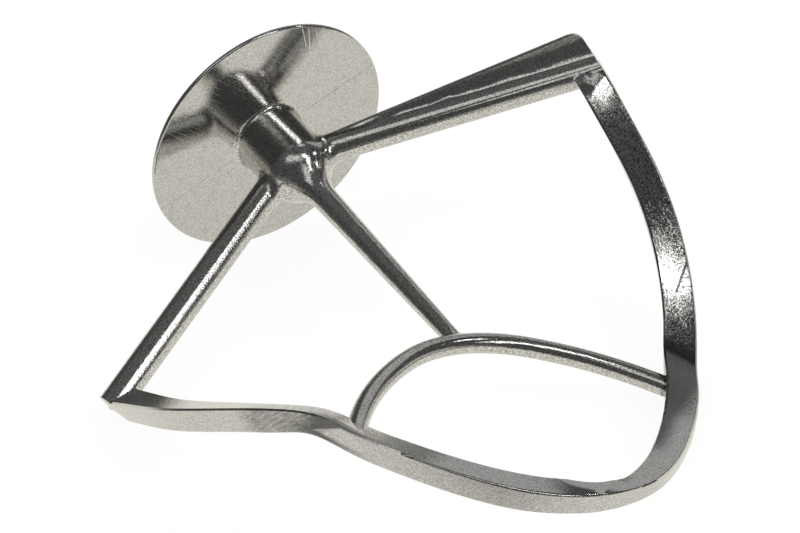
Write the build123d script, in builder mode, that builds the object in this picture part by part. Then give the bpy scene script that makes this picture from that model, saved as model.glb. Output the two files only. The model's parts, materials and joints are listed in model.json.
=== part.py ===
from build123d import *
from math import acos, cos, radians, sin, sqrt, tan
import os

os.makedirs("parts", exist_ok=True)

# Sizes in millimetres. The frame is the beater's own: +Z runs up the drive shaft, z = 0 is the middle of the
# splash disc's thickness, the arms lie along X, and below the disc the part repeats after half a turn.

# hub, splash disc and drive socket
hub_r = 8.85
hub_len = 15.5
hub_bevel = 1.4
dome_r = 7.0
disc_r = 32.5
disc_t = 1.5
rim_chamfer = 0.45
sleeve_r = 9.4
sleeve_top = 20.0
bore_r = 5.85
bore_floor = -6.5
sleeve_chamfer = 0.8
slot_w = 4.4
slot_depth = 13.0
slot_turn = 55.0

# centre rod and the arch under it
rod_top_r = 3.25
rod_foot_r = 2.05
arch_top = -90.9
arch_r = 2.5
crown_r = 40.7
crown_arc = 25.0
flank_r = 84.7
arch_sink = 3.4
crown_fillet = 1.2

# arms: a round rod with a fin that widens towards the band
arm_root = -11.6
arm_end_x = 71.1
arm_end_z = -43.5
arm_r = 3.7
arm_fillet = 4.0
fin_lean = 54.0
fin_edge = 0.9
fin_hollow_r = 9.0
fin_base = 1.0
fin_base_w = 3.0
fin_root_x = 9.0
fin_end_x = 72.6
fin_root_reach = 3.6
fin_end_reach = 10.7
fin_corner_r = 3.2

# band: outline seen square to its own plane, then turned about the axis above the bend
tip_z = -155.4
tip_r = 47.0
tip_arc = 37.0
side_r = 109.0
side_arc = 85.0
turn = 37.1
bend_z = -113.0
turn_top_z = -47.3
band_top_z = -43.0
band_edge = 0.6
thick_top = 7.4
thick_bend = 7.0
thick_tip = 5.2
depth_top = 7.7
depth_bend = 9.5
depth_tip = 5.0
skew_top = -11.0
skew_bend = -18.0
skew_tip = 17.0
level_zone = 30.0
swap_run = 10.0
ridge_out = -1.5
ridge_in = 13.0
arm_run = 146.0
bevel_in_run = 138.8
bevel_out_run = 142.1
stations = 14


def band_outline(run):
    """Radius and height of the band's outer face at a length along it from the tip."""
    a1 = radians(tip_arc)
    a2 = radians(side_arc)
    run1 = tip_r * a1
    run2 = run1 + side_r * (a2 - a1)
    if run < run1:
        a = run / tip_r
        return tip_r * sin(a), tip_z + tip_r * (1 - cos(a))
    a = min(a1 + (run - run1) / side_r, a2)
    r = tip_r * sin(a1) + side_r * (sin(a) - sin(a1))
    z = tip_z + tip_r * (1 - cos(a1)) + side_r * (cos(a1) - cos(a))
    rest = max(run - run2, 0)
    return r + rest * cos(a2), z + rest * sin(a2)


def band_point(run):
    """Point of the outer face: the outline turned about the axis, less and less towards the arm."""
    r, z = band_outline(abs(run))
    share = min((turn_top_z - z) / (turn_top_z - bend_z), 1)
    a = radians(turn * share)
    half = 1 if run >= 0 else -1
    return Vector(half * r * cos(a), half * r * sin(a), z)


def band_plane(run):
    """Plane square to the band, with x across it and y towards the inside of the frame."""
    step = 0.5
    along = (band_point(run + step) - band_point(run - step)).normalized()
    r, z = band_outline(abs(run))
    a = radians(turn * min((turn_top_z - z) / (turn_top_z - bend_z), 1))
    side = Vector(-sin(a), cos(a), 0)
    across = (side - along * side.dot(along)).normalized()
    return Plane(origin=band_point(run), x_dir=across, z_dir=along)


def between(low, high, share):
    return low + (high - low) * max(0, min(share, 1))


def band_section(run):
    """Corners of the band's cross-section: a parallelogram whose skew swaps over at the tip."""
    r, z = band_outline(abs(run))
    if z > bend_z:
        share = (z - bend_z) / (band_top_z - bend_z)
        thick = between(thick_bend, thick_top, share)
        depth = between(depth_bend, depth_top, share)
        skew = between(skew_bend, skew_top, share)
    else:
        share = (z - tip_z) / (bend_z - tip_z)
        share = sqrt(max(share, 0))
        thick = between(thick_tip, thick_bend, share)
        depth = between(depth_tip, depth_bend, share)
        skew = between(skew_tip, skew_bend, share)
    slope = tan(radians(skew))
    near_lean = slope * between(-1, 1, run / swap_run)
    far_lean = slope * between(-1, 1, run / swap_run + 1)
    level = slope * between(-1, 1, (run / level_zone + 1) / 2)
    near = (-thick / 2, -thick / 2 * level)
    far = (thick / 2, thick / 2 * level)
    far_in = (far[0] + depth * far_lean, far[1] + depth)
    near_in = (near[0] + depth * near_lean, near[1] + depth)
    return [near, far, far_in, near_in]


# at the tip each broad face ends in a slanting ridge, and a flat ramp leads from it to the other half
ridge_low = band_plane(ridge_out).from_local_coords(band_section(ridge_out)[0])
ridge_high = band_plane(-ridge_in).from_local_coords(band_section(-ridge_in)[3])
ramp_foot = band_plane(swap_run).from_local_coords(band_section(swap_run)[3])
foot_line = (ramp_foot - ridge_low).normalized()
ramp_back = ridge_high - ridge_low
ramp_back = (ramp_back - foot_line * ramp_back.dot(foot_line)).normalized()
with BuildPart() as ramp:
    with Locations(Plane(origin=ridge_low, x_dir=ramp_back, z_dir=foot_line.cross(ramp_back))):
        Box(4 * ridge_in, 4 * ridge_in, ridge_in, align=(Align.MIN, Align.CENTER, Align.MIN))

# beside each arm the band's broad face slopes back under the round of the arm
arm_fall = arm_end_z - arm_root
arm_len = sqrt(arm_end_x ** 2 + arm_fall ** 2)
arm_along = Vector(arm_end_x, 0, arm_fall).normalized()
bevel_in = band_plane(bevel_in_run).from_local_coords(band_section(bevel_in_run)[3])
bevel_out = band_plane(bevel_out_run).from_local_coords(band_section(bevel_out_run)[0])
bevel_top = Vector(bevel_in.X, 0, arm_root + arm_fall * bevel_in.X / arm_end_x)
bevel_top = bevel_top - Vector(0, arm_r, arm_r) * sin(radians(45))
bevel_line = (bevel_out - bevel_in).normalized()
with BuildPart() as bevel:
    with Locations(Plane(origin=bevel_in, x_dir=bevel_line, z_dir=bevel_line.cross(bevel_top - bevel_in))):
        Box(8 * arm_r, 8 * arm_r, 2 * arm_r, align=(Align.CENTER, Align.CENTER, Align.MIN))

# the band is one loft from arm to arm, through the tip
with BuildPart() as band:
    for i in range(-stations, stations + 1):
        run = arm_run * i / stations
        with BuildSketch(band_plane(run)) as section:
            Polygon(*band_section(run), align=None)
            chamfer(section.vertices(), band_edge)
    loft()
    add(ramp.part, mode=Mode.SUBTRACT)
    add(ramp.part.rotate(Axis.Z, 180), mode=Mode.SUBTRACT)
    add(bevel.part, mode=Mode.SUBTRACT)
    add(bevel.part.rotate(Axis.Z, 180), mode=Mode.SUBTRACT)

# the arms end flush with the band's outer face
end_plane = band_plane(arm_run)
end_corners = [end_plane.from_local_coords(corner) for corner in band_section(arm_run)]
end_across = end_corners[1] - end_corners[0]
with BuildPart() as trim:
    with Locations(Plane(origin=band_point(arm_run), x_dir=end_across, z_dir=end_plane.z_dir)):
        Box(8 * arm_r, 4 * arm_r, 8 * arm_r, align=(Align.CENTER, Align.MAX, Align.CENTER))

# arch: a round rod along three tangent arcs, in the plane of the band's lower half, into the band at its feet


def arch_outline(slope):
    """Radius and height of the arch's centre line where it falls away at an angle of slope degrees."""
    a1 = radians(crown_arc)
    a2 = radians(slope)
    r = crown_r * sin(a1) + flank_r * (sin(a2) - sin(a1))
    return r, arch_top - crown_r * (1 - cos(a1)) - flank_r * (cos(a1) - cos(a2))


def band_radius(z):
    """Radius of the band's outer face at a height, below the end of its side arc."""
    a1 = radians(tip_arc)
    side_z = tip_z + tip_r * (1 - cos(a1))
    if z < side_z:
        return tip_r * sin(acos(1 - (z - tip_z) / tip_r))
    return tip_r * sin(a1) + side_r * (sin(acos(cos(a1) - (z - side_z) / side_r)) - sin(a1))


def foot_slope():
    """Slope at which the arch ends, short of the band's outer face by the sink."""
    low = crown_arc
    high = 90.0
    for i in range(40):
        middle = (low + high) / 2
        r, z = arch_outline(middle)
        if r < band_radius(z) - arch_sink:
            low = middle
        else:
            high = middle
    return low


foot_end = foot_slope()
flank_span = foot_end - crown_arc
flank_x = (crown_r - flank_r) * sin(radians(crown_arc))
flank_y = (crown_r - flank_r) * cos(radians(crown_arc)) - crown_r
arch_way = Vector(cos(radians(turn)), sin(radians(turn)), 0)
arch_plane = Plane((0, 0, arch_top), x_dir=arch_way, z_dir=arch_way.cross(Vector(0, 0, 1)))
with BuildPart() as arch:
    with BuildLine(arch_plane) as crown:
        CenterArc((flank_x, flank_y), flank_r, 90 - foot_end, flank_span)
        CenterArc((0, -crown_r), crown_r, 90 - crown_arc, 2 * crown_arc)
        CenterArc((-flank_x, flank_y), flank_r, 90 + crown_arc, flank_span)
    with BuildSketch(Plane(origin=crown.line @ 0, z_dir=crown.line % 0)):
        Circle(arch_r)
    sweep()

# hub, disc, socket sleeve and centre rod: one profile turned about the axis
dome_low = (hub_r - dome_r + dome_r * cos(radians(45)), -hub_len - dome_r * sin(radians(45)))
flare_r = (dome_low[0] - rod_top_r) / (1 - cos(radians(45)))
rod_top = (rod_top_r, dome_low[1] - flare_r * sin(radians(45)))
with BuildPart() as core:
    with BuildSketch(Plane.YZ) as profile:
        with BuildLine():
            l1 = Line((0, sleeve_top), (sleeve_r - sleeve_chamfer, sleeve_top))
            l2 = Line(l1 @ 1, (sleeve_r, sleeve_top - sleeve_chamfer))
            l3 = Line(l2 @ 1, (sleeve_r, disc_t / 2))
            l4 = Line(l3 @ 1, (disc_r - rim_chamfer, disc_t / 2))
            rim_top = Line(l4 @ 1, (disc_r, disc_t / 2 - rim_chamfer))
            rim = Line(rim_top @ 1, (disc_r, -disc_t / 2 + rim_chamfer))
            rim_low = Line(rim @ 1, (disc_r - rim_chamfer, -disc_t / 2))
            l6 = Line(rim_low @ 1, (hub_r + hub_bevel, -disc_t / 2))
            l7 = Line(l6 @ 1, (hub_r, -disc_t / 2 - hub_bevel))
            l8 = Line(l7 @ 1, (hub_r, -hub_len))
            l9 = RadiusArc(l8 @ 1, dome_low, dome_r)
            l10 = RadiusArc(l9 @ 1, rod_top, -flare_r)
            l11 = Line(l10 @ 1, (rod_foot_r, arch_top))
            l12 = Line(l11 @ 1, (0, arch_top))
            l13 = Line(l12 @ 1, l1 @ 0)
        make_face()
    revolve(axis=Axis.Z)


# arms: a round rod from the hub to a knob in the band's end, and a hollow-sided fin along it
arm_up = arm_along.cross(Vector(0, 1, 0))
fin_out = arm_up * cos(radians(fin_lean)) - Vector(0, 1, 0) * sin(radians(fin_lean))

with BuildPart() as arm_rod:
    with BuildSketch(Plane(origin=(0, 0, arm_root), x_dir=fin_out, z_dir=arm_along)):
        Circle(arm_r)
    extrude(amount=arm_len + 2 * arm_r)
    add(trim.part, mode=Mode.SUBTRACT)

# the fin's outer corner is rounded off where it ends; u runs along the arm and v out along the fin
end_out = end_across.cross(end_plane.z_dir).normalized()
root_u = fin_root_x * arm_len / arm_end_x
end_u = fin_end_x * arm_len / arm_end_x
fin_rise = (fin_end_reach - fin_root_reach) / (end_u - root_u)
root_v = fin_root_reach - fin_rise * root_u
end_level = end_out.dot(band_point(arm_run) - Vector(0, 0, arm_root))
end_u_share = end_out.dot(arm_along)
end_v_share = end_out.dot(fin_out)
tip_u = (end_level - root_v * end_v_share) / (end_u_share + fin_rise * end_v_share)
fin_tip = Vector(tip_u, root_v + fin_rise * tip_u)
back = Vector(-1, -fin_rise).normalized()
down = Vector(end_v_share, -end_u_share).normalized()
corner_half = acos(back.dot(down)) / 2
corner_middle = fin_tip + (back + down).normalized() * (fin_corner_r / sin(corner_half))
corner_cut = fin_corner_r / tan(corner_half)
corner_points = [fin_tip + back * corner_cut, fin_tip, fin_tip + down * corner_cut]
corner_points = [corner_middle + (point - corner_middle) * 1.3 for point in corner_points]
with BuildPart() as fin_corner:
    with BuildSketch(Plane(origin=(0, 0, arm_root), x_dir=arm_along, z_dir=arm_along.cross(fin_out))):
        Polygon(*[(point.X, point.Y) for point in [corner_middle] + corner_points], align=None)
        with Locations((corner_middle.X, corner_middle.Y)):
            Circle(fin_corner_r, mode=Mode.SUBTRACT)
    extrude(amount=fin_base_w, both=True)

with BuildPart() as fin:
    for u in [root_u, end_u + arm_r]:
        reach = root_v + fin_rise * u
        middle = Vector(0, 0, arm_root) + arm_along * u
        with BuildSketch(Plane(origin=middle, x_dir=fin_out, z_dir=arm_along)):
            with BuildLine():
                neck = reach - fin_edge / 2
                flank = RadiusArc((fin_base, fin_base_w), (neck, fin_edge), -fin_hollow_r)
                bevel = Line(flank @ 1, (reach, fin_edge / 2))
                edge = Line(bevel @ 1, (reach, -fin_edge / 2))
                back_bevel = Line(edge @ 1, (neck, -fin_edge))
                back_flank = RadiusArc(back_bevel @ 1, (fin_base, -fin_base_w), -fin_hollow_r)
                Line(back_flank @ 1, flank @ 0)
            make_face()
    loft()
    add(trim.part, mode=Mode.SUBTRACT)
    add(fin_corner.part, mode=Mode.SUBTRACT)

with BuildPart() as beater:
    add(core.part)
    add(arm_rod.part)
    add(arm_rod.part.rotate(Axis.Z, 180))
    roots = [e for e in beater.edges() if abs(e.center().Z - arm_root) < 1.2 * hub_r]
    roots = [e for e in roots if 0.6 * hub_r < abs(e.center().X) < 1.4 * hub_r]
    fillet([e for e in roots if e.geom_type != GeomType.CIRCLE], arm_fillet)
    add(fin.part)
    add(fin.part.rotate(Axis.Z, 180))
    add(arch.part)
    joint = [e for e in beater.edges() if (e.center() - Vector(0, 0, arch_top)).length < 2 * arch_r]
    fillet(joint, crown_fillet)
    add(band.part)
    with Locations((0, 0, bore_floor)):
        bore_seat = (Align.CENTER, Align.CENTER, Align.MIN)
        Cylinder(bore_r, sleeve_top - bore_floor, align=bore_seat, mode=Mode.SUBTRACT)
    with BuildSketch(Plane.XY.offset(sleeve_top - slot_depth)):
        with Locations((0, sleeve_r)):
            Rectangle(slot_w, 2 * sleeve_r)
    extrude(amount=slot_depth, mode=Mode.SUBTRACT)
    with BuildSketch(Plane.YZ):
        with Locations((sleeve_r, sleeve_top - slot_depth + slot_w / 2)):
            Rectangle(2 * sleeve_r, slot_w)
    revolve(axis=Axis.Z, revolution_arc=slot_turn, mode=Mode.SUBTRACT)
beater.part.label = "beater"
export_step(beater.part, "parts/beater.step")
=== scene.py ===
"""The finished look of a cast stand mixer beater: its polished skin, and a small studio to show it in."""

import json
import math

import bpy
from bpy.props import FloatProperty, FloatVectorProperty, PointerProperty
from bpy.types import Operator, Panel, PropertyGroup
from mathutils import Matrix, Vector

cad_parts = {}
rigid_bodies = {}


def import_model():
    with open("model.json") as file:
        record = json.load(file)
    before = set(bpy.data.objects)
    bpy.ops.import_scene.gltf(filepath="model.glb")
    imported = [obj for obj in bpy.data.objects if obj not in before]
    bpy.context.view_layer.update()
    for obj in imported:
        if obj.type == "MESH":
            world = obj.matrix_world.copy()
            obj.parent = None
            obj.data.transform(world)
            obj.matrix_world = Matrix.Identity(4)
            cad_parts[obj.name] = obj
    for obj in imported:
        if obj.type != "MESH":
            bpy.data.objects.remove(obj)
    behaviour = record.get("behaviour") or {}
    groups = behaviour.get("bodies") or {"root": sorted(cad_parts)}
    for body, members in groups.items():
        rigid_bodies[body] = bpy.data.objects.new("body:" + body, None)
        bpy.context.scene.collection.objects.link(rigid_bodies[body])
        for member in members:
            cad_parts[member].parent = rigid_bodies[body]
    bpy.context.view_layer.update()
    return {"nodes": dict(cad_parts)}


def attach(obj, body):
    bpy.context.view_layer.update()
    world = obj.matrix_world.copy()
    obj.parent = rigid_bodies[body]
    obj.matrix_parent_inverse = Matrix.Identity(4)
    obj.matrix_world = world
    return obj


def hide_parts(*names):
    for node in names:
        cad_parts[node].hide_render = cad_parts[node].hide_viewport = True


bl_info = {
    "name": "Stand mixer beater",
    "version": (1, 0, 0),
    "blender": (4, 5, 0),
    "location": "View3D > Sidebar > Beater",
    "description": "Gives the cast beater its polished skin and sets up the studio around it",
    "category": "Object",
}

for startup_object in list(bpy.data.objects):
    bpy.data.objects.remove(startup_object)
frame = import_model()

CASTING_NODE = "beater"
MM = 0.001

# where the casting's regions lie, in metres in its own frame
DISC_HALF = 1.0 * MM
HUB_REACH = 10.4 * MM
ARM_FLOOR = -47.0 * MM
ROD_REACH = 4.2 * MM
ROD_FOOT = -93.5 * MM
ARCH_TOP = -90.9 * MM
ARCH_R = 2.5 * MM
ARCH_REACH = 1.25 * ARCH_R
CROWN_R = 40.7 * MM
CROWN_ARC = math.radians(25.0)
FLANK_R = 84.7 * MM
BAND_TURN = math.radians(37.1)
TIP = -155.4 * MM
TIP_R = 47.0 * MM
TIP_ARC = math.radians(37.0)
SIDE_R = 109.0 * MM
BAND_DEPTH = 9.2 * MM

RODS, DISC, BAND = 0, 1, 2
RISING = (0.0, 1.0)
FALLING = (1.0, 0.0)

# how the casting's faces are joined, and how strongly the area of a smooth patch counts in its corner normals
WELD = 0.002 * MM
PATCH_POWER = 2.0

# the metal's texture: how the grain's values spread over tone and roughness, and how the pits gather
MOTTLE_RANGE = (0.33, 0.67)
ROUGH_SPREAD = (0.7, 1.35)
PIT_SPREAD = 0.12
PIT_SHAPE = (0.10, 0.32)
PIT_CHOICE = (0.52, 0.66)

# limits between which a mark fades in or out: radians or metres on the band, metres along x, or plain shares
SEAM_FADE = (0.3, 1.0)
SCORE_FADE = (0.2, 1.0)
HOLLOW_KNEE = 0.78
HOLLOW_FOOT = (0.54, 0.68)
HOLLOW_TOP = (1.02, 1.12)
HOLLOW_SIDE = (1.0 * MM, 2.0 * MM)
LEAF_FOOT = (0.86, 0.94)
LEAF_TOP = (1.065, 1.115)
LEAF_FACE = (1.6 * MM, 2.2 * MM)
LEAF_RAGGED = 0.06
SPECK_FOOT = (0.76, 0.86)
SPECK_HALF = (20.0 * MM, 30.0 * MM)
SPECK_CUT = (0.46, 0.60)
BRUSHED_FADE = (0.55, 1.05)

# scores in the skin: start, end and half width in millimetres, and how much of the metal's colour each covers
SCUFFS = (((19.3, -25.0, -0.8), (18.3, -19.6, -0.8), 0.24, 0.7),
          ((20.7, -23.8, -0.8), (18.5, -16.7, -0.8), 0.22, 0.8),
          ((22.2, -22.0, -0.8), (21.6, -17.8, -0.8), 0.20, 0.6))
KNOCK = ((60.4, 23.8, -91.7), (53.7, 23.7, -97.1), 0.35, 0.75)

# the stage: lengths in metres, levels as shares of full white
STAGE_REACH = 1.6
DOME_ROWS = 12
DOME_COLUMNS = 32
TABLE_PAINT = (0.86, 0.86, 0.86, 1.0)
TABLE_GLOW = 1.12
TABLE_GLOW_SHARE = 0.80
TABLE_TINT = (1.0, 0.985, 0.895)
TABLE_DARK = 0.08
LIT_FADE = 2.0
BACK_FADE = (-0.9, -0.35)
BACK_LEVEL = 0.45
CEILING_FADE = (0.55, 0.85)
CEILING_GAIN = 1.5
WALL_WAY = (0.447, -0.840, 0.309)
WALL_FADE = (0.90, 0.955)
WALL_GAIN = 4.3
WORLD_FILL = 0.60
SENSOR_WIDTH = 36.0
CLIP_START = 0.01
CLIP_END = 20.0

# each lamp's turn from the camera's side and rise over the table, in degrees, and its width and height
LAMP_DISTANCE = 1.0
LAMPS = {
    "softbox": (-12.0, 65.0, 0.95, 0.38),
    "strip": (60.0, 42.0, 0.075, 0.75),
    "side_lamp": (96.5, 33.3, 0.055, 0.052),
    "back_lamp": (156.0, 59.0, 0.22, 0.12),
}

# socket numbers of nodes whose sockets share their names
MIX_SHARE, MIX_FIRST, MIX_SECOND, MIX_COLOUR = 0, 6, 7, 2
WHOLE_FIRST, WHOLE_SECOND = 2, 3


class BeaterFinish(PropertyGroup):
    """Colours and surface sizes of the polished casting."""

    metal: FloatVectorProperty(
        name="Metal", description="Colour of the clean burnished aluminium",
        subtype="COLOR", size=3, min=0.0, max=1.0, default=(0.66, 0.65, 0.63))
    soil: FloatVectorProperty(
        name="Soil", description="Colour of the oxide held in pits and scratches",
        subtype="COLOR", size=3, min=0.0, max=1.0, default=(0.10, 0.095, 0.085))
    rod_roughness: FloatProperty(
        name="Rod roughness", description="Roughness of the hub, arms, rod and arch",
        subtype="FACTOR", min=0.02, max=1.0, default=0.10)
    disc_roughness: FloatProperty(
        name="Disc roughness", description="Roughness of the splash disc",
        subtype="FACTOR", min=0.02, max=1.0, default=0.085)
    band_roughness: FloatProperty(
        name="Band roughness", description="Roughness of the outer band",
        subtype="FACTOR", min=0.02, max=1.0, default=0.07)
    grain: FloatProperty(
        name="Grain", description="Width of the fine grain left by casting and tumbling",
        unit="LENGTH", min=0.05 * MM, max=5 * MM, precision=5, default=0.45 * MM)
    wave: FloatProperty(
        name="Wave", description="Width of the slow waviness that polishing leaves",
        unit="LENGTH", min=0.5 * MM, max=50 * MM, precision=4, default=3.2 * MM)
    relief: FloatProperty(
        name="Relief", description="Height that a full step of the surface texture stands for",
        unit="LENGTH", min=0.0, max=1 * MM, precision=6, default=0.012 * MM)
    crease: FloatProperty(
        name="Crease", description="Edges that bend more than this stay crisp",
        subtype="ANGLE", min=0.0, max=math.pi, default=math.radians(52.0))
    bend: FloatProperty(
        name="Bend", description="Faces that bend less than this belong to one smooth patch",
        subtype="ANGLE", min=0.0, max=math.pi, default=math.radians(12.0))


class BeaterStudio(PropertyGroup):
    """Places and strengths of the floor, lights and camera."""

    floor_up: FloatVectorProperty(
        name="Floor up", description="Upward direction of the table that the beater lies on",
        subtype="DIRECTION", size=3, default=(0.2872, -0.9541, 0.0851))
    floor_drop: FloatProperty(
        name="Floor drop", description="How far the table lies below the frame's origin",
        unit="LENGTH", precision=4, default=32.6 * MM)
    floor_front: FloatProperty(
        name="Lit reach", description="How far the lit part of the table reaches to the sides and the front",
        unit="LENGTH", precision=3, default=0.13)
    table_mirror: FloatProperty(
        name="Table in the metal", description="Brightness of the lit table as the metal mirrors it",
        min=0.0, max=1.0, default=0.82)
    camera_place: FloatVectorProperty(
        name="Camera", description="Where the camera stands",
        subtype="TRANSLATION", size=3, precision=5, default=(-0.228725, -1.092682, -0.992359))
    camera_aim: FloatVectorProperty(
        name="Aim", description="Point that the camera looks at",
        subtype="TRANSLATION", size=3, precision=5, default=(0.008415, 0.028783, -0.035833))
    camera_up: FloatVectorProperty(
        name="Camera up", description="Upward direction in the picture",
        subtype="DIRECTION", size=3, precision=5, default=(0.563577, -0.601812, 0.565865))
    lens: FloatProperty(
        name="Lens", description="Focal length, in millimetres on a 36 mm wide sensor",
        min=10.0, max=1000.0, default=270.0)
    room: FloatProperty(
        name="Room", description="Brightness of the dim room around the table",
        min=0.0, max=1.0, default=0.085)
    softbox: FloatProperty(
        name="Softbox", description="Power of the wide soft light over the camera",
        subtype="POWER", unit="POWER", min=0.0, default=0.70)
    side_lamp: FloatProperty(
        name="Side lamp", description="Power of the small lamp far to the right",
        subtype="POWER", unit="POWER", min=0.0, default=0.19)
    back_lamp: FloatProperty(
        name="Back lamp", description="Power of the lamp high up behind the beater",
        subtype="POWER", unit="POWER", min=0.0, default=0.09)
    strip: FloatProperty(
        name="Strip light", description="Power of the narrow light at the right",
        subtype="POWER", unit="POWER", min=0.0, default=1.0)


def add_node(tree, kind, place, **values):
    """A new node, with its settings given by name and its unlinked inputs by socket name or number."""
    node = tree.nodes.new(kind)
    node.location = place
    inputs = values.pop("inputs", {})
    for key, value in values.items():
        setattr(node, key, value)
    for key, value in inputs.items():
        node.inputs[key].default_value = value
    return node


def new_group(name, vectors, values, outputs):
    """An empty shader group with vectors and values going in and values coming out, and its two end nodes."""
    tree = bpy.data.node_groups.new(name, "ShaderNodeTree")
    for label in vectors:
        tree.interface.new_socket(name=label, in_out="INPUT", socket_type="NodeSocketVector")
    for label in values:
        tree.interface.new_socket(name=label, in_out="INPUT", socket_type="NodeSocketFloat")
    for label in outputs:
        tree.interface.new_socket(name=label, in_out="OUTPUT", socket_type="NodeSocketFloat")
    source = add_node(tree, "NodeGroupInput", (-900, 0))
    sink = add_node(tree, "NodeGroupOutput", (700, 0))
    return tree, source, sink


def lane_parts(tree, place):
    """The band's own coordinates: angle along it, and metres in from its outline and across it."""
    lane = add_node(tree, "ShaderNodeAttribute", place, attribute_name="lane")
    parts = add_node(tree, "ShaderNodeSeparateXYZ", (place[0] + 180, place[1]))
    tree.links.new(lane.outputs["Vector"], parts.inputs[0])
    return parts.outputs["X"], parts.outputs["Y"], parts.outputs["Z"]


def math_node(tree, place, operation, first, second):
    """A math node whose two inputs are sockets or numbers."""
    node = add_node(tree, "ShaderNodeMath", place, operation=operation)
    for number, value in enumerate((first, second)):
        if isinstance(value, (int, float)):
            node.inputs[number].default_value = value
        else:
            tree.links.new(value, node.inputs[number])
    return node.outputs[0]


def smooth_step(tree, place, value, limits, ends=RISING):
    """A smooth change from one end to the other as the value passes between its limits."""
    node = add_node(tree, "ShaderNodeMapRange", place, interpolation_type="SMOOTHSTEP",
                    inputs={"From Min": limits[0], "From Max": limits[1],
                            "To Min": ends[0], "To Max": ends[1]})
    tree.links.new(value, node.inputs["Value"])
    return node.outputs["Result"]


def scaled_sum(tree, place, value, factor, base):
    """The value times a fixed factor, added to the base."""
    node = add_node(tree, "ShaderNodeMath", place, operation="MULTIPLY_ADD", inputs={1: factor})
    tree.links.new(value, node.inputs[0])
    tree.links.new(base, node.inputs[2])
    return node.outputs[0]


def part_along(tree, place, value, way):
    """How far a vector reaches along a fixed direction."""
    node = add_node(tree, "ShaderNodeVectorMath", place, operation="DOT_PRODUCT", inputs={1: way})
    tree.links.new(value, node.inputs[0])
    return node.outputs["Value"]


def new_material(name):
    """A material with nothing but an output node, and its tree and that node."""
    material = bpy.data.materials.new(name)
    material.use_nodes = True
    tree = material.node_tree
    tree.nodes.clear()
    output = add_node(tree, "ShaderNodeOutputMaterial", (900, 0))
    return material, tree, output


def cast_grain_group():
    """Fine grain, slow waviness and scattered pits of a burnished casting."""
    tree, source, sink = new_group(
        "cast_grain", ["Vector"],
        ["Grain Scale", "Wave Scale", "Grain Amount", "Wave Amount", "Pit Amount"],
        ["Height", "Mottle", "Pits"])
    link = tree.links.new
    grain = add_node(tree, "ShaderNodeTexNoise", (-600, 250), inputs={"Detail": 3.0, "Roughness": 0.6})
    wave = add_node(tree, "ShaderNodeTexNoise", (-600, 0), inputs={"Detail": 1.0, "Roughness": 0.4})
    pits = add_node(tree, "ShaderNodeTexVoronoi", (-600, -250), inputs={"Randomness": 1.0})
    pick = add_node(tree, "ShaderNodeTexNoise", (-600, -520), inputs={"Detail": 2.0})
    for texture in (grain, wave, pits, pick):
        link(source.outputs["Vector"], texture.inputs["Vector"])
    link(source.outputs["Grain Scale"], grain.inputs["Scale"])
    link(source.outputs["Wave Scale"], wave.inputs["Scale"])
    link(source.outputs["Grain Scale"], pits.inputs["Scale"])
    pick_scale = math_node(tree, (-780, -520), "MULTIPLY", source.outputs["Grain Scale"], PIT_SPREAD)
    link(pick_scale, pick.inputs["Scale"])
    grains, waves = grain.outputs["Fac"], wave.outputs["Fac"]
    grain_part = math_node(tree, (-350, 250), "MULTIPLY", grains, source.outputs["Grain Amount"])
    wave_part = math_node(tree, (-350, 0), "MULTIPLY", waves, source.outputs["Wave Amount"])
    hollow = smooth_step(tree, (-350, -250), pits.outputs["Distance"], PIT_SHAPE, FALLING)
    chosen = smooth_step(tree, (-350, -520), pick.outputs["Fac"], PIT_CHOICE)
    pit_mask = math_node(tree, (-120, -350), "MULTIPLY", hollow, chosen)
    pit_part = math_node(tree, (80, -350), "MULTIPLY", pit_mask, source.outputs["Pit Amount"])
    swell = math_node(tree, (-120, 120), "ADD", grain_part, wave_part)
    height = math_node(tree, (280, 60), "SUBTRACT", swell, pit_part)
    link(height, sink.inputs["Height"])
    link(grains, sink.inputs["Mottle"])
    link(pit_part, sink.inputs["Pits"])
    return tree


def hairline_group():
    """Fine straight scratches along the first axis of the vector that comes in."""
    tree, source, sink = new_group("hairlines", ["Vector", "Stretch"], ["Scale", "Sparseness"], ["Lines"])
    link = tree.links.new
    drawn = add_node(tree, "ShaderNodeVectorMath", (-650, 100), operation="MULTIPLY")
    link(source.outputs["Vector"], drawn.inputs[0])
    link(source.outputs["Stretch"], drawn.inputs[1])
    lines = add_node(tree, "ShaderNodeTexNoise", (-420, 100), inputs={"Detail": 2.0, "Roughness": 0.7})
    link(drawn.outputs[0], lines.inputs["Vector"])
    link(source.outputs["Scale"], lines.inputs["Scale"])
    above = math_node(tree, (-200, 100), "SUBTRACT", lines.outputs["Fac"], source.outputs["Sparseness"])
    mask = add_node(tree, "ShaderNodeMapRange", (20, 100), inputs={"From Min": 0.0, "From Max": 0.10})
    link(above, mask.inputs["Value"])
    link(mask.outputs["Result"], sink.inputs["Lines"])
    return tree


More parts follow.
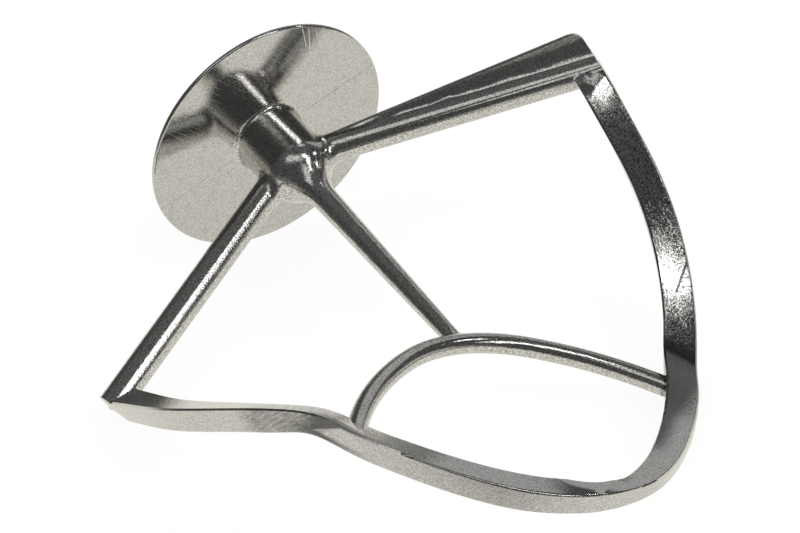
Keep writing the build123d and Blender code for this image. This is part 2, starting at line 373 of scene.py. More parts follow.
def parting_line_group():
    """The faint seam that the two halves of the mould leave across the disc, along the arms."""
    tree, source, sink = new_group("parting_line", ["Vector"], ["Half Width"], ["Mask"])
    link = tree.links.new
    split = add_node(tree, "ShaderNodeSeparateXYZ", (-650, 0))
    link(source.outputs["Vector"], split.inputs[0])
    wander = add_node(tree, "ShaderNodeTexNoise", (-650, -200), inputs={"Scale": 400.0, "Detail": 2.0})
    link(source.outputs["Vector"], wander.inputs["Vector"])
    off = add_node(tree, "ShaderNodeMath", (-450, 0), operation="ABSOLUTE")
    link(split.outputs["Y"], off.inputs[0])
    share = math_node(tree, (-250, 0), "DIVIDE", off.outputs[0], source.outputs["Half Width"])
    line = smooth_step(tree, (-50, 0), share, SEAM_FADE, FALLING)
    worn = add_node(tree, "ShaderNodeMapRange", (-250, -200), inputs={"From Min": 0.35, "From Max": 0.6})
    link(wander.outputs["Fac"], worn.inputs["Value"])
    mask = math_node(tree, (200, 0), "MULTIPLY", line, worn.outputs["Result"])
    link(mask, sink.inputs["Mask"])
    return tree


def score_group():
    """One straight score in the skin, from a start point along a direction."""
    tree, source, sink = new_group("score", ["Vector", "Start", "Along"], ["Length", "Half Width"], ["Mask"])
    link = tree.links.new
    offset = add_node(tree, "ShaderNodeVectorMath", (-700, 200), operation="SUBTRACT")
    link(source.outputs["Vector"], offset.inputs[0])
    link(source.outputs["Start"], offset.inputs[1])
    along = add_node(tree, "ShaderNodeVectorMath", (-520, 0), operation="DOT_PRODUCT")
    link(offset.outputs[0], along.inputs[0])
    link(source.outputs["Along"], along.inputs[1])
    held = math_node(tree, (-360, 0), "MAXIMUM", along.outputs["Value"], 0.0)
    held = math_node(tree, (-200, 0), "MINIMUM", held, source.outputs["Length"])
    foot = add_node(tree, "ShaderNodeVectorMath", (-40, 0), operation="SCALE")
    link(source.outputs["Along"], foot.inputs[0])
    link(held, foot.inputs["Scale"])
    gap = add_node(tree, "ShaderNodeVectorMath", (120, 150), operation="DISTANCE")
    link(offset.outputs[0], gap.inputs[0])
    link(foot.outputs[0], gap.inputs[1])
    share = math_node(tree, (280, 150), "DIVIDE", gap.outputs["Value"], source.outputs["Half Width"])
    mask = smooth_step(tree, (440, 150), share, SCORE_FADE, FALLING)
    link(mask, sink.inputs["Mask"])
    return tree


def score_mark(group, score, colour, height):
    """The mark that one score leaves: where it runs, its colour and how far it stands out of the skin."""
    start, end, half_width, cover = score
    along = Vector(end) - Vector(start)
    return {"group": group,
            "inputs": {"Start": Vector(start) * MM, "Along": along.normalized(), "Length": along.length * MM,
                       "Half Width": half_width * MM},
            "colour": colour, "cover": cover, "rough": 0.05, "height": height}


def dished_shade_group():
    """Painted shade of the hollow that the arch's foot runs out into, on the inner part of the lower band's
    broad face.
    """
    tree, source, sink = new_group("dished_side", [], ["Start", "Slant", "Width"], ["Mask"])
    angle, inward, across = lane_parts(tree, (-900, 300))
    above = math_node(tree, (-500, 300), "SUBTRACT", angle, HOLLOW_KNEE)
    above = math_node(tree, (-340, 300), "MAXIMUM", above, 0.0)
    slant = math_node(tree, (-180, 300), "MULTIPLY", above, source.outputs["Slant"])
    start = math_node(tree, (-20, 300), "SUBTRACT", source.outputs["Start"], slant)
    past = math_node(tree, (140, 300), "SUBTRACT", inward, start)
    share = math_node(tree, (300, 300), "DIVIDE", past, source.outputs["Width"])
    hollow = smooth_step(tree, (460, 300), share, RISING)
    low_end = smooth_step(tree, (-340, 0), angle, HOLLOW_FOOT)
    high_end = smooth_step(tree, (-340, -250), angle, HOLLOW_TOP, FALLING)
    side = smooth_step(tree, (-340, -500), across, HOLLOW_SIDE)
    both_ends = math_node(tree, (-100, -100), "MULTIPLY", low_end, high_end)
    where = math_node(tree, (100, -200), "MULTIPLY", both_ends, side)
    mask = math_node(tree, (620, 50), "MULTIPLY", hollow, where)
    tree.links.new(mask, sink.inputs["Mask"])
    return tree


def folded_shade_group():
    """Painted shade of the fold: a dark leaf of the outer face that narrows away below the bend."""
    tree, source, sink = new_group("folded_corner", ["Vector"], ["Angle", "Edge", "Slant", "Soft"], ["Mask"])
    angle, inward, across = lane_parts(tree, (-900, 300))
    past = math_node(tree, (-500, 300), "SUBTRACT", angle, source.outputs["Angle"])
    above = math_node(tree, (-340, 300), "MAXIMUM", past, 0.0)
    slant = math_node(tree, (-180, 300), "MULTIPLY", above, source.outputs["Slant"])
    edge = math_node(tree, (-20, 300), "ADD", source.outputs["Edge"], slant)
    below = math_node(tree, (140, 300), "SUBTRACT", edge, across)
    share = math_node(tree, (300, 300), "DIVIDE", below, source.outputs["Soft"])
    leaf = smooth_step(tree, (460, 300), share, RISING)
    ragged = add_node(tree, "ShaderNodeTexNoise", (-700, -300), inputs={"Scale": 900.0, "Detail": 3.0})
    tree.links.new(source.outputs["Vector"], ragged.inputs["Vector"])
    shift = math_node(tree, (-500, -300), "MULTIPLY", ragged.outputs["Fac"], LEAF_RAGGED)
    worn = math_node(tree, (-340, -300), "ADD", angle, shift)
    upper = smooth_step(tree, (-180, -300), worn, LEAF_TOP, FALLING)
    lower = smooth_step(tree, (-180, -550), angle, LEAF_FOOT)
    face = smooth_step(tree, (-180, 0), inward, LEAF_FACE, FALLING)
    ends = math_node(tree, (20, -300), "MULTIPLY", upper, lower)
    where = math_node(tree, (200, -150), "MULTIPLY", ends, face)
    mask = math_node(tree, (620, 50), "MULTIPLY", leaf, where)
    tree.links.new(mask, sink.inputs["Mask"])
    return tree


def cast_speckle_group():
    """Dark specks of the bare casting skin, on the upper band of one half."""
    tree, source, sink = new_group("cast_speckle", ["Vector"], ["Scale"], ["Mask"])
    angle = lane_parts(tree, (-900, 300))[0]
    upper = smooth_step(tree, (-500, 300), angle, SPECK_FOOT)
    axes = add_node(tree, "ShaderNodeSeparateXYZ", (-700, 50))
    tree.links.new(source.outputs["Vector"], axes.inputs[0])
    half = smooth_step(tree, (-500, 50), axes.outputs["X"], SPECK_HALF)
    where = math_node(tree, (-300, 200), "MULTIPLY", upper, half)
    grains = add_node(tree, "ShaderNodeTexNoise", (-700, -250), inputs={"Detail": 1.0, "Roughness": 0.6})
    tree.links.new(source.outputs["Vector"], grains.inputs["Vector"])
    tree.links.new(source.outputs["Scale"], grains.inputs["Scale"])
    specks = smooth_step(tree, (-500, -250), grains.outputs["Fac"], SPECK_CUT)
    mask = math_node(tree, (-100, 0), "MULTIPLY", where, specks)
    tree.links.new(mask, sink.inputs["Mask"])
    return tree


def brushed_shadow_patch_group():
    """Coarse slanting brush strokes over a rounded patch of painted shade, where the dark reflection at the
    band's bend is painted into its colour.
    """
    tree, source, sink = new_group(
        "brushed_patch", ["Vector", "Middle", "Turn", "Stroke"], ["Reach"], ["Mask"])
    link = tree.links.new
    from_middle = add_node(tree, "ShaderNodeVectorMath", (-650, 200), operation="DISTANCE")
    link(source.outputs["Vector"], from_middle.inputs[0])
    link(source.outputs["Middle"], from_middle.inputs[1])
    ragged = add_node(tree, "ShaderNodeTexNoise", (-650, 400),
                      inputs={"Scale": 350.0, "Detail": 4.0, "Roughness": 0.65})
    link(source.outputs["Vector"], ragged.inputs["Vector"])
    spread = add_node(tree, "ShaderNodeMapRange", (-450, 400), inputs={"To Min": 0.45, "To Max": 1.55})
    link(ragged.outputs["Fac"], spread.inputs["Value"])
    share = math_node(tree, (-450, 200), "DIVIDE", from_middle.outputs["Value"], source.outputs["Reach"])
    uneven = math_node(tree, (-250, 250), "MULTIPLY", share, spread.outputs["Result"])
    area = smooth_step(tree, (-50, 200), uneven, BRUSHED_FADE, FALLING)
    angle, _, across = lane_parts(tree, (-900, -150))
    run = math_node(tree, (-600, -100), "MULTIPLY", angle, SIDE_R)
    flat = add_node(tree, "ShaderNodeCombineXYZ", (-450, -150))
    link(run, flat.inputs[0])
    link(across, flat.inputs[1])
    turned = add_node(tree, "ShaderNodeVectorRotate", (-300, -150), rotation_type="EULER_XYZ")
    link(flat.outputs[0], turned.inputs["Vector"])
    link(source.outputs["Turn"], turned.inputs["Rotation"])
    drawn = add_node(tree, "ShaderNodeVectorMath", (-150, -150), operation="MULTIPLY")
    link(turned.outputs["Vector"], drawn.inputs[0])
    link(source.outputs["Stroke"], drawn.inputs[1])
    strokes = add_node(tree, "ShaderNodeTexNoise", (0, -150),
                       inputs={"Scale": 1.0, "Detail": 3.0, "Roughness": 0.6})
    link(drawn.outputs[0], strokes.inputs["Vector"])
    light = add_node(tree, "ShaderNodeMapRange", (150, -150),
                     inputs={"From Min": 0.36, "From Max": 0.64, "To Min": 0.25, "To Max": 1.0})
    link(strokes.outputs["Fac"], light.inputs["Value"])
    mask = math_node(tree, (350, 50), "MULTIPLY", area, light.outputs["Result"])
    link(mask, sink.inputs["Mask"])
    return tree


def metal_material(name, finish, groups, roughness, amounts, tones, lines, marks=()):
    """Burnished aluminium: its texture comes from the shared groups, set for one region of the casting."""
    material, tree, output = new_material(name)
    link = tree.links.new
    metal = add_node(tree, "ShaderNodeBsdfPrincipled", (600, 0), inputs={"Metallic": 1.0})
    link(metal.outputs["BSDF"], output.inputs["Surface"])
    place = add_node(tree, "ShaderNodeTexCoord", (-1100, 0))
    texture = add_node(tree, "ShaderNodeGroup", (-700, 150), node_tree=groups["grain"])
    link(place.outputs["Object"], texture.inputs["Vector"])
    texture.inputs["Grain Scale"].default_value = 1.0 / finish.grain
    texture.inputs["Wave Scale"].default_value = 1.0 / finish.wave
    for label, amount in amounts.items():
        texture.inputs[label].default_value = amount
    turned = add_node(tree, "ShaderNodeMapping", (-900, -250), vector_type="TEXTURE",
                      inputs={"Rotation": lines["turn"]})
    link(place.outputs["Object"], turned.inputs["Vector"])
    scratch = add_node(tree, "ShaderNodeGroup", (-700, -250), node_tree=groups["lines"])
    link(turned.outputs["Vector"], scratch.inputs["Vector"])
    scratch.inputs["Scale"].default_value = lines["scale"]
    scratch.inputs["Stretch"].default_value = lines["stretch"]
    scratch.inputs["Sparseness"].default_value = lines["sparse"]
    # colour: clean metal, a little mottled, with oxide in the pits
    tint = add_node(tree, "ShaderNodeMapRange", (-420, 320),
                    inputs={"From Min": MOTTLE_RANGE[0], "From Max": MOTTLE_RANGE[1],
                            "To Min": tones[0], "To Max": tones[1]})
    link(texture.outputs["Mottle"], tint.inputs["Value"])
    clean = add_node(tree, "ShaderNodeMix", (-200, 320), data_type="RGBA", blend_type="MULTIPLY",
                     inputs={MIX_SHARE: 1.0, MIX_FIRST: (*finish.metal, 1.0)})
    link(tint.outputs["Result"], clean.inputs[MIX_SECOND])
    soiled = add_node(tree, "ShaderNodeMix", (40, 320), data_type="RGBA",
                      inputs={MIX_SECOND: (*finish.soil, 1.0)})
    link(clean.outputs[MIX_COLOUR], soiled.inputs[MIX_FIRST])
    link(texture.outputs["Pits"], soiled.inputs[MIX_SHARE])
    colour = soiled.outputs[MIX_COLOUR]
    # roughness: the region's own, uneven with the grain and rougher in scratches
    rough = add_node(tree, "ShaderNodeMapRange", (-420, 40),
                     inputs={"To Min": roughness * ROUGH_SPREAD[0], "To Max": roughness * ROUGH_SPREAD[1]})
    link(texture.outputs["Mottle"], rough.inputs["Value"])
    scratches = scratch.outputs["Lines"]
    rough_value = scaled_sum(tree, (-200, 40), scratches, lines["rough"], rough.outputs["Result"])
    # relief: grain, waves and pits, less the scratches
    height = scaled_sum(tree, (-200, -200), scratches, -lines["depth"], texture.outputs["Height"])
    # marks of one place: each recolours, roughens and raises the metal by its own amounts
    for step, mark in enumerate(marks):
        drop = -600 - 300 * step
        sign = add_node(tree, "ShaderNodeGroup", (-700, drop), node_tree=mark["group"], inputs=mark["inputs"])
        if "Vector" in sign.inputs:
            link(place.outputs["Object"], sign.inputs["Vector"])
        mask = sign.outputs["Mask"]
        shade = add_node(tree, "ShaderNodeMix", (0, drop), data_type="RGBA",
                         inputs={MIX_SECOND: (*mark["colour"], 1.0)})
        link(math_node(tree, (-300, drop), "MULTIPLY", mask, mark["cover"]), shade.inputs[MIX_SHARE])
        link(colour, shade.inputs[MIX_FIRST])
        colour = shade.outputs[MIX_COLOUR]
        rough_value = scaled_sum(tree, (0, drop - 100), mask, mark["rough"], rough_value)
        height = scaled_sum(tree, (0, drop - 200), mask, mark["height"], height)
    link(colour, metal.inputs["Base Color"])
    link(rough_value, metal.inputs["Roughness"])
    bump = add_node(tree, "ShaderNodeBump", (300, -200), inputs={"Strength": 1.0, "Distance": finish.relief})
    link(height, bump.inputs["Height"])
    link(bump.outputs["Normal"], metal.inputs["Normal"])
    return material


def lane_of(point):
    """Where a point lies on the lower band: the angle along it, and metres in from its outline and across it.

    Points that change places after half a turn about the axis have the same values.
    """
    along = point.x * math.cos(BAND_TURN) + point.y * math.sin(BAND_TURN)
    across = point.y * math.cos(BAND_TURN) - point.x * math.sin(BAND_TURN)
    out = abs(along)
    middle = Vector((0.0, TIP + TIP_R))
    radius = TIP_R
    angle = math.atan2(out, middle.y - point.z)
    if angle > TIP_ARC:
        middle = middle + (TIP_R - SIDE_R) * Vector((math.sin(TIP_ARC), -math.cos(TIP_ARC)))
        radius = SIDE_R
        angle = math.atan2(out - middle.x, middle.y - point.z)
    inward = radius - math.hypot(out - middle.x, point.z - middle.y)
    return angle, inward, across if along < 0.0 else -across


def region_of(point):
    """Which of the casting's regions a point of its skin belongs to."""
    reach = math.hypot(point.x, point.y)
    if abs(point.z) < DISC_HALF and reach > HUB_REACH:
        return DISC
    if point.z > ARM_FLOOR or (reach < ROD_REACH and point.z > ROD_FOOT):
        return RODS
    along = point.x * math.cos(BAND_TURN) + point.y * math.sin(BAND_TURN)
    across = point.y * math.cos(BAND_TURN) - point.x * math.sin(BAND_TURN)
    out = abs(along)
    middle = Vector((0.0, ARCH_TOP - CROWN_R))
    radius = CROWN_R
    if math.atan2(out, point.z - middle.y) > CROWN_ARC:
        shift = CROWN_R - FLANK_R
        middle = middle + shift * Vector((math.sin(CROWN_ARC), math.cos(CROWN_ARC)))
        radius = FLANK_R
    off = math.hypot(out - middle.x, point.z - middle.y) - radius
    on_arch = math.hypot(off, across) < ARCH_REACH and lane_of(point)[1] > BAND_DEPTH
    return RODS if on_arch else BAND


def cast_skin_tree():
    """Geometry nodes: weld the casting's faces, mark its crisp edges and give each region its material."""
    tree = bpy.data.node_groups.new("cast_skin", "GeometryNodeTree")
    socket = tree.interface.new_socket
    socket(name="Geometry", in_out="INPUT", socket_type="NodeSocketGeometry")
    socket(name="Weld", in_out="INPUT", socket_type="NodeSocketFloat")
    socket(name="Crease", in_out="INPUT", socket_type="NodeSocketFloat")
    for label in ("Rods", "Disc", "Band"):
        socket(name=label, in_out="INPUT", socket_type="NodeSocketMaterial")
    socket(name="Geometry", in_out="OUTPUT", socket_type="NodeSocketGeometry")
    link = tree.links.new
    source = add_node(tree, "NodeGroupInput", (-900, 0))
    sink = add_node(tree, "NodeGroupOutput", (1100, 0))
    weld = add_node(tree, "GeometryNodeMergeByDistance", (-650, 100))
    link(source.outputs["Geometry"], weld.inputs["Geometry"])
    link(source.outputs["Weld"], weld.inputs["Distance"])
    smooth = add_node(tree, "GeometryNodeSetShadeSmooth", (-420, 100), domain="FACE",
                      inputs={"Shade Smooth": True})
    link(weld.outputs["Geometry"], smooth.inputs["Geometry"])
    angle = add_node(tree, "GeometryNodeInputMeshEdgeAngle", (-650, -150))
    crisp = add_node(tree, "FunctionNodeCompare", (-420, -150), data_type="FLOAT", operation="GREATER_THAN")
    link(angle.outputs["Unsigned Angle"], crisp.inputs[0])
    link(source.outputs["Crease"], crisp.inputs[1])
    edges = add_node(tree, "GeometryNodeSetShadeSmooth", (-180, 100), domain="EDGE",
                     inputs={"Shade Smooth": False})
    link(smooth.outputs["Geometry"], edges.inputs["Geometry"])
    link(crisp.outputs["Result"], edges.inputs["Selection"])
    region = add_node(tree, "GeometryNodeInputNamedAttribute", (-180, -200), data_type="INT",
                      inputs={"Name": "region"})
    real = add_node(tree, "GeometryNodeRealizeInstances", (20, 100))
    link(edges.outputs["Geometry"], real.inputs["Geometry"])
    flow = real.outputs["Geometry"]
    for step, (label, number) in enumerate((("Rods", RODS), ("Disc", DISC), ("Band", BAND))):
        chosen = add_node(tree, "FunctionNodeCompare", (60 + 300 * step, -200), data_type="INT",
                          operation="EQUAL", inputs={WHOLE_SECOND: number})
        link(region.outputs["Attribute"], chosen.inputs[WHOLE_FIRST])
        paint = add_node(tree, "GeometryNodeSetMaterial", (200 + 300 * step, 100))
        link(flow, paint.inputs["Geometry"])
        link(chosen.outputs["Result"], paint.inputs["Selection"])
        link(source.outputs[label], paint.inputs["Material"])
        flow = paint.outputs["Geometry"]
    link(flow, sink.inputs["Geometry"])
    return tree


def modifier_input(modifier, label, value):
    """Sets a geometry nodes input by the identifier of the socket with that name."""
    for item in modifier.node_group.interface.items_tree:
        if item.item_type == "SOCKET" and item.in_out == "INPUT" and item.name == label:
            modifier[item.identifier] = value
            return
    raise RuntimeError(f"the skin's tree has no input named {label}")


def patch_areas(mesh, bend):
    """For each face, the area of the smooth patch that it belongs to, in square millimetres."""
    beside = {}
    for face in mesh.polygons:
        for edge in face.edge_keys:
            beside.setdefault(edge, []).append(face.index)
    neighbours = [[] for face in mesh.polygons]
    least = math.cos(bend)
    for faces in beside.values():
        for one in faces:
            for other in faces:
                if one != other and mesh.polygons[one].normal.dot(mesh.polygons[other].normal) > least:
                    neighbours[one].append(other)
    areas = [0.0] * len(mesh.polygons)
    seen = set()
    for start in range(len(mesh.polygons)):
        if start in seen:
            continue
        seen.add(start)
        patch = [start]
        for member in patch:
            for other in neighbours[member]:
                if other not in seen:
                    seen.add(other)
                    patch.append(other)
        total = sum(mesh.polygons[member].area for member in patch) / (MM * MM)
        for member in patch:
            areas[member] = total
    return areas


def even_normals(mesh, crease, bend):
    """Corner normals that keep broad faces flat and let the slim faces between them carry the turn."""
    least = math.cos(crease)
    regions = mesh.attributes["region"].data
    normals = [face.normal.copy() for face in mesh.polygons]
    areas = [face.area / (MM * MM) for face in mesh.polygons]
    patches = patch_areas(mesh, bend)
    around = [[] for vertex in mesh.vertices]
    for face in mesh.polygons:
        for corner in face.vertices:
            around[corner].append(face.index)
    corners = []
    for face in mesh.polygons:
        power = 0.0 if regions[face.index].value == RODS else PATCH_POWER
        for corner in face.vertices:
            total = Vector()
            for other in around[corner]:
                if normals[face.index].dot(normals[other]) > least:
                    total = total + normals[other] * areas[other] * patches[other] ** power
            corners.append(total.normalized())
    mesh.normals_split_custom_set(corners)


def disc_marks(score):
    """The seam that the mould left across the disc, and three bright scuffs."""
    seam = {"group": parting_line_group(), "inputs": {"Half Width": 0.22 * MM},
            "colour": (0.30, 0.29, 0.28), "cover": 0.7, "rough": 0.15, "height": -1.2}
    bright = (0.93, 0.92, 0.90)
    return [seam, *(score_mark(score, scuff, colour=bright, height=1.5) for scuff in SCUFFS)]


def band_marks(score, finish):
    """What casting and use left on the band, and the shade painted into it at the bend, the fold and the
    hollow under the arch's foot.
    """
    # painted shade: a dark reflection painted into the band's colour at the bend, under brush strokes
    brushed_shadow = {"group": brushed_shadow_patch_group(),
               "inputs": {"Middle": (-0.0505, -0.0335, -0.1075), "Reach": 14.0 * MM,
                          "Turn": (0.0, 0.0, math.radians(-49.0)), "Stroke": (260.0, 2600.0, 0.0)},
               "colour": (0.16, 0.16, 0.155), "cover": 0.85, "rough": 0.06, "height": -1.2}
    # painted shade: the fold below the bend, darkened in the band's colour
    folded_shade = {"group": folded_shade_group(),
              "inputs": {"Angle": 0.98, "Edge": -2.5 * MM, "Slant": 72.0 * MM, "Soft": 0.7 * MM},
              "colour": (0.10, 0.10, 0.10), "cover": 0.9, "rough": 0.03, "height": 0.0}
    # painted shade: the hollow under the arch's foot, darkest at its inner edge
    dished_shade = {"group": dished_shade_group(),
              "inputs": {"Start": 2.6 * MM, "Slant": 26.0 * MM, "Width": 4.6 * MM},
              "colour": (0.10, 0.10, 0.098), "cover": 0.85, "rough": 0.0, "height": 0.0}
    speckle = {"group": cast_speckle_group(), "inputs": {"Scale": 1.0 / finish.grain},
               "colour": (0.10, 0.098, 0.095), "cover": 0.85, "rough": 0.0, "height": -0.4}
    dark = (0.16, 0.155, 0.15)
    return [brushed_shadow, folded_shade, dished_shade, speckle, score_mark(score, KNOCK, colour=dark, height=-8.0)]


class BEATER_OT_casting(Operator):
    """Make the polished skin of the one-piece casting"""

    bl_idname = "beater.casting"
    bl_label = "Polished casting"

    def execute(self, context):
        finish = context.scene.beater_finish
        groups = {"grain": cast_grain_group(), "lines": hairline_group()}
        score = score_group()
        rods = metal_material(
            "rod_metal", finish, groups, finish.rod_roughness,
            amounts={"Grain Amount": 2.8, "Wave Amount": 0.9, "Pit Amount": 0.7}, tones=(0.50, 1.32),
            lines={"turn": (0.0, 0.0, 0.0), "scale": 900.0, "stretch": (1.0, 1.0, 0.08), "sparse": 0.60,
                   "rough": 0.06, "depth": 0.12})
        disc = metal_material(
            "disc_metal", finish, groups, finish.disc_roughness,
            amounts={"Grain Amount": 0.8, "Wave Amount": 0.6, "Pit Amount": 1.0}, tones=(0.72, 1.10),
            lines={"turn": (0.0, 0.0, math.radians(63.0)), "scale": 1400.0, "stretch": (0.05, 1.0, 1.0),
                   "sparse": 0.57, "rough": 0.10, "depth": 0.15}, marks=disc_marks(score))
        band = metal_material(
            "band_metal", finish, groups, finish.band_roughness,
            amounts={"Grain Amount": 1.8, "Wave Amount": 0.7, "Pit Amount": 0.7}, tones=(0.66, 1.20),
            lines={"turn": (math.radians(35.0), 0.0, 0.0), "scale": 1100.0, "stretch": (1.0, 1.0, 0.06),
                   "sparse": 0.56, "rough": 0.07, "depth": 0.15}, marks=band_marks(score, finish))
        node = frame["nodes"][CASTING_NODE]
        mesh = node.data.copy()
        region = mesh.attributes.new("region", "INT", "FACE")
        region.data.foreach_set("value", [region_of(face.center) for face in mesh.polygons])
        lane = mesh.attributes.new("lane", "FLOAT_VECTOR", "POINT")
        lane.data.foreach_set("vector", [value for vertex in mesh.vertices for value in lane_of(vertex.co)])
        rough_copy = bpy.data.objects.new("casting_copy", mesh)
        context.scene.collection.objects.link(rough_copy)
        skin = rough_copy.modifiers.new("Cast skin", "NODES")
        skin.node_group = cast_skin_tree()
        modifier_input(skin, "Weld", WELD)
        modifier_input(skin, "Crease", finish.crease)
        modifier_input(skin, "Rods", rods)
        modifier_input(skin, "Disc", disc)
        modifier_input(skin, "Band", band)
        context.view_layer.update()
        evaluated = rough_copy.evaluated_get(context.evaluated_depsgraph_get())
        finished = bpy.data.meshes.new_from_object(evaluated)
        bpy.data.objects.remove(rough_copy)
        even_normals(finished, finish.crease, finish.bend)
        casting = bpy.data.objects.new("beater_casting", finished)
        context.scene.collection.objects.link(casting)
        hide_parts(CASTING_NODE)
        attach(casting, "root")
        return {"FINISHED"}


def lying_axes(studio):
    """Right, front and up of the table, front being the camera's side."""
    up = Vector(studio.floor_up).normalized()
    front = Vector(studio.camera_place) - Vector(studio.camera_aim)
    front = (front - up * front.dot(up)).normalized()
    return up.cross(front), front, up


def stage_object(context, name, points, faces, material):
    """A piece of the stage, made from points and faces."""
    mesh = bpy.data.meshes.new(name)
    mesh.from_pydata([tuple(p) for p in points], [], faces)
    mesh.materials.append(material)
    piece = bpy.data.objects.new(name, mesh)
    context.scene.collection.objects.link(piece)
    return piece


def seen_directly(tree, place):
    """A value of 1 for rays that show the background: the camera's, and mirrored or transmitted ones."""
    path = add_node(tree, "ShaderNodeLightPath", place)
    value = path.outputs["Is Camera Ray"]
    for step, label in enumerate(("Is Glossy Ray", "Is Transmission Ray")):
        beside = (place[0] + 180 * (step + 1), place[1])
        value = math_node(tree, beside, "MAXIMUM", value, path.outputs[label])
    return value


def table_material(studio):
    """White table: its lit middle shows white to the camera and in the metal, and it takes the shadow."""
    material, tree, output = new_material("white_table")
    link = tree.links.new
    right, front, _ = lying_axes(studio)
    paint = add_node(tree, "ShaderNodeBsdfDiffuse", (0, 100), inputs={"Color": TABLE_PAINT})
    glow = add_node(tree, "ShaderNodeEmission", (0, -80), inputs={"Strength": TABLE_GLOW})
    path = add_node(tree, "ShaderNodeLightPath", (-1000, -450))
    place = add_node(tree, "ShaderNodeTexCoord", (-1000, -150))
    from_aim = add_node(tree, "ShaderNodeVectorMath", (-900, -150), operation="SUBTRACT",
                        inputs={1: studio.camera_aim})
    link(place.outputs["Object"], from_aim.inputs[0])
    # painted pool of light: in the metal the table's glow is brightest round the beater, fades to dark
    # towards the sides and the front, and is dimmer behind
    aside = part_along(tree, (-720, -100), from_aim.outputs[0], right)
    ahead = part_along(tree, (-720, -250), from_aim.outputs[0], front)
    near = math_node(tree, (-560, -250), "MAXIMUM", ahead, 0.0)
    back = smooth_step(tree, (-560, -450), ahead, BACK_FADE, (BACK_LEVEL, 1.0))
    both_ways = add_node(tree, "ShaderNodeCombineXYZ", (-400, -200))
    link(aside, both_ways.inputs[0])
    link(near, both_ways.inputs[1])
    away = add_node(tree, "ShaderNodeVectorMath", (-240, -200), operation="LENGTH")
    link(both_ways.outputs[0], away.inputs[0])
    lit = smooth_step(tree, (-80, -200), away.outputs["Value"],
                      (studio.floor_front, studio.floor_front * LIT_FADE), (studio.table_mirror, TABLE_DARK))
    faded = math_node(tree, (60, -300), "MULTIPLY", lit, back)
    warm = add_node(tree, "ShaderNodeVectorMath", (140, -300), operation="SCALE", inputs={0: TABLE_TINT})
    link(faded, warm.inputs["Scale"])
    bright = add_node(tree, "ShaderNodeVectorMath", (300, -300), operation="MAXIMUM")
    link(warm.outputs[0], bright.inputs[0])
    link(path.outputs["Is Camera Ray"], bright.inputs[1])
    link(bright.outputs[0], glow.inputs["Color"])
    share = math_node(tree, (-200, 300), "MULTIPLY", seen_directly(tree, (-1000, 300)), TABLE_GLOW_SHARE)
    top = add_node(tree, "ShaderNodeMixShader", (300, 50))
    link(share, top.inputs[0])
    link(paint.outputs[0], top.inputs[1])
    link(glow.outputs[0], top.inputs[2])
    # seen from below, the table is clear
    side = add_node(tree, "ShaderNodeNewGeometry", (300, 300))
    clear = add_node(tree, "ShaderNodeBsdfTransparent", (300, -150))
    both = add_node(tree, "ShaderNodeMixShader", (620, 50))
    link(side.outputs["Backfacing"], both.inputs[0])
    link(top.outputs[0], both.inputs[1])
    link(clear.outputs[0], both.inputs[2])
    link(both.outputs[0], output.inputs["Surface"])
    return material


def room_material(studio):
    """The dim room that the polished metal mirrors, a little brighter high up and on part of its far wall."""
    material, tree, output = new_material("dim_room")
    link = tree.links.new
    right, front, up = lying_axes(studio)
    glow = add_node(tree, "ShaderNodeEmission", (250, 0))
    place = add_node(tree, "ShaderNodeTexCoord", (-700, 0))
    way = add_node(tree, "ShaderNodeVectorMath", (-520, 0), operation="NORMALIZE")
    link(place.outputs["Object"], way.inputs[0])
    rise = part_along(tree, (-340, 0), way.outputs[0], up)
    level = smooth_step(tree, (-140, 0), rise, CEILING_FADE, (studio.room, studio.room * CEILING_GAIN))
    wall_way = (right * WALL_WAY[0] + front * WALL_WAY[1] + up * WALL_WAY[2]).normalized()
    wall = part_along(tree, (-340, -250), way.outputs[0], wall_way)
    wall_level = smooth_step(tree, (-140, -250), wall, WALL_FADE, (0.0, studio.room * WALL_GAIN))
    total = math_node(tree, (80, -100), "ADD", level, wall_level)
    link(total, glow.inputs["Strength"])
    link(glow.outputs[0], output.inputs["Surface"])
    return material


def dome_mesh(studio):
    """Half sphere over the table, as points and quads that face inwards."""
    right, front, up = lying_axes(studio)
    foot = -up * studio.floor_drop
    points = []
    for row in range(DOME_ROWS + 1):
        rise = 0.5 * math.pi * row / DOME_ROWS
        for column in range(DOME_COLUMNS):
            turn = 2.0 * math.pi * column / DOME_COLUMNS
            level = right * math.sin(turn) + front * math.cos(turn)
            points.append(foot + STAGE_REACH * (level * math.cos(rise) + up * math.sin(rise)))
    faces = []
    for row in range(DOME_ROWS):
        low, high = row * DOME_COLUMNS, (row + 1) * DOME_COLUMNS
        for column in range(DOME_COLUMNS):
            following = (column + 1) % DOME_COLUMNS
            faces.append((low + column, high + column, high + following, low + following))
    return points, faces


def area_light(context, studio, name):
    """A rectangular light that faces the beater, placed by its angles over the table."""
    turn, rise, width, height = LAMPS[name]
    right, front, up = lying_axes(studio)
    level = right * math.sin(math.radians(turn)) + front * math.cos(math.radians(turn))
    way = level * math.cos(math.radians(rise)) + up * math.sin(math.radians(rise))
    lamp = bpy.data.lights.new(name, "AREA")
    lamp.shape = "RECTANGLE"
    lamp.size = width
    lamp.size_y = height
    lamp.energy = getattr(studio, name)
    light = bpy.data.objects.new(name, lamp)
    across = up.cross(way).normalized()
    light.matrix_world = Matrix((across, way.cross(across), way)).transposed().to_4x4()
    light.matrix_world.translation = Vector(studio.camera_aim) + way * LAMP_DISTANCE
    context.scene.collection.objects.link(light)


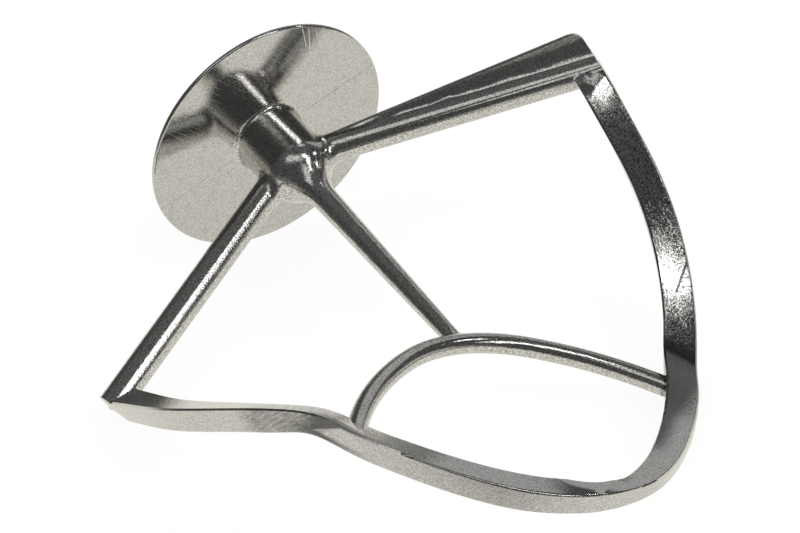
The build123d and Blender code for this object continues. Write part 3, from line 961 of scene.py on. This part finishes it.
class BEATER_OT_studio(Operator):
    """Set up the table, the dim room, the lights, the white background and the camera"""

    bl_idname = "beater.studio"
    bl_label = "Studio"

    def execute(self, context):
        scene = context.scene
        studio = scene.beater_studio
        right, front, up = lying_axes(studio)
        foot = -up * studio.floor_drop
        corners = [foot + right * x * STAGE_REACH + front * y * STAGE_REACH
                   for x, y in ((-1, 1), (1, 1), (1, -1), (-1, -1))]
        stage_object(context, "table", corners, [(0, 1, 2, 3)], table_material(studio))
        points, faces = dome_mesh(studio)
        room = stage_object(context, "room", points, faces, room_material(studio))
        room.visible_camera = False
        room.visible_diffuse = False
        room.visible_shadow = False
        for name in LAMPS:
            area_light(context, studio, name)
        self.white_world(scene)
        self.camera(context, studio)
        scene.view_settings.view_transform = "Standard"
        return {"FINISHED"}

    def white_world(self, scene):
        """A background that shows white and lights the rest a little less."""
        world = bpy.data.worlds.new("white_background")
        world.use_nodes = True
        tree = world.node_tree
        tree.nodes.clear()
        output = add_node(tree, "ShaderNodeOutputWorld", (400, 0))
        sky = add_node(tree, "ShaderNodeBackground", (200, 0), inputs={"Color": (1.0, 1.0, 1.0, 1.0)})
        shown = seen_directly(tree, (-600, 0))
        level = add_node(tree, "ShaderNodeMapRange", (0, 0), inputs={"To Min": WORLD_FILL, "To Max": 1.0})
        tree.links.new(shown, level.inputs["Value"])
        tree.links.new(level.outputs["Result"], sky.inputs["Strength"])
        tree.links.new(sky.outputs[0], output.inputs["Surface"])
        scene.world = world

    def camera(self, context, studio):
        """The camera, from its place, aim and upward direction."""
        lens = bpy.data.cameras.new("camera")
        lens.sensor_fit = "HORIZONTAL"
        lens.sensor_width = SENSOR_WIDTH
        lens.lens = studio.lens
        lens.clip_start = CLIP_START
        lens.clip_end = CLIP_END
        camera = bpy.data.objects.new("camera", lens)
        back = (Vector(studio.camera_place) - Vector(studio.camera_aim)).normalized()
        across = Vector(studio.camera_up).cross(back).normalized()
        camera.matrix_world = Matrix((across, back.cross(across), back)).transposed().to_4x4()
        camera.matrix_world.translation = Vector(studio.camera_place)
        context.scene.collection.objects.link(camera)
        context.scene.camera = camera


class BEATER_PT_panel(Panel):
    """Lists the beater's settings and steps"""

    bl_idname = "BEATER_PT_panel"
    bl_label = "Stand mixer beater"
    bl_space_type = "VIEW_3D"
    bl_region_type = "UI"
    bl_category = "Beater"

    def draw(self, context):
        layout = self.layout
        for group in (context.scene.beater_finish, context.scene.beater_studio):
            column = layout.column()
            for key in group.__annotations__:
                column.prop(group, key)
        layout.operator(BEATER_OT_casting.bl_idname)
        layout.operator(BEATER_OT_studio.bl_idname)


CLASSES = (BeaterFinish, BeaterStudio, BEATER_OT_casting, BEATER_OT_studio, BEATER_PT_panel)


def register():
    for cls in CLASSES:
        bpy.utils.register_class(cls)
    bpy.types.Scene.beater_finish = PointerProperty(type=BeaterFinish)
    bpy.types.Scene.beater_studio = PointerProperty(type=BeaterStudio)


def unregister():
    del bpy.types.Scene.beater_studio
    del bpy.types.Scene.beater_finish
    for cls in reversed(CLASSES):
        bpy.utils.unregister_class(cls)


def main():
    register()
    bpy.ops.beater.casting()
    bpy.ops.beater.studio()


if __name__ == "__main__":
    main()
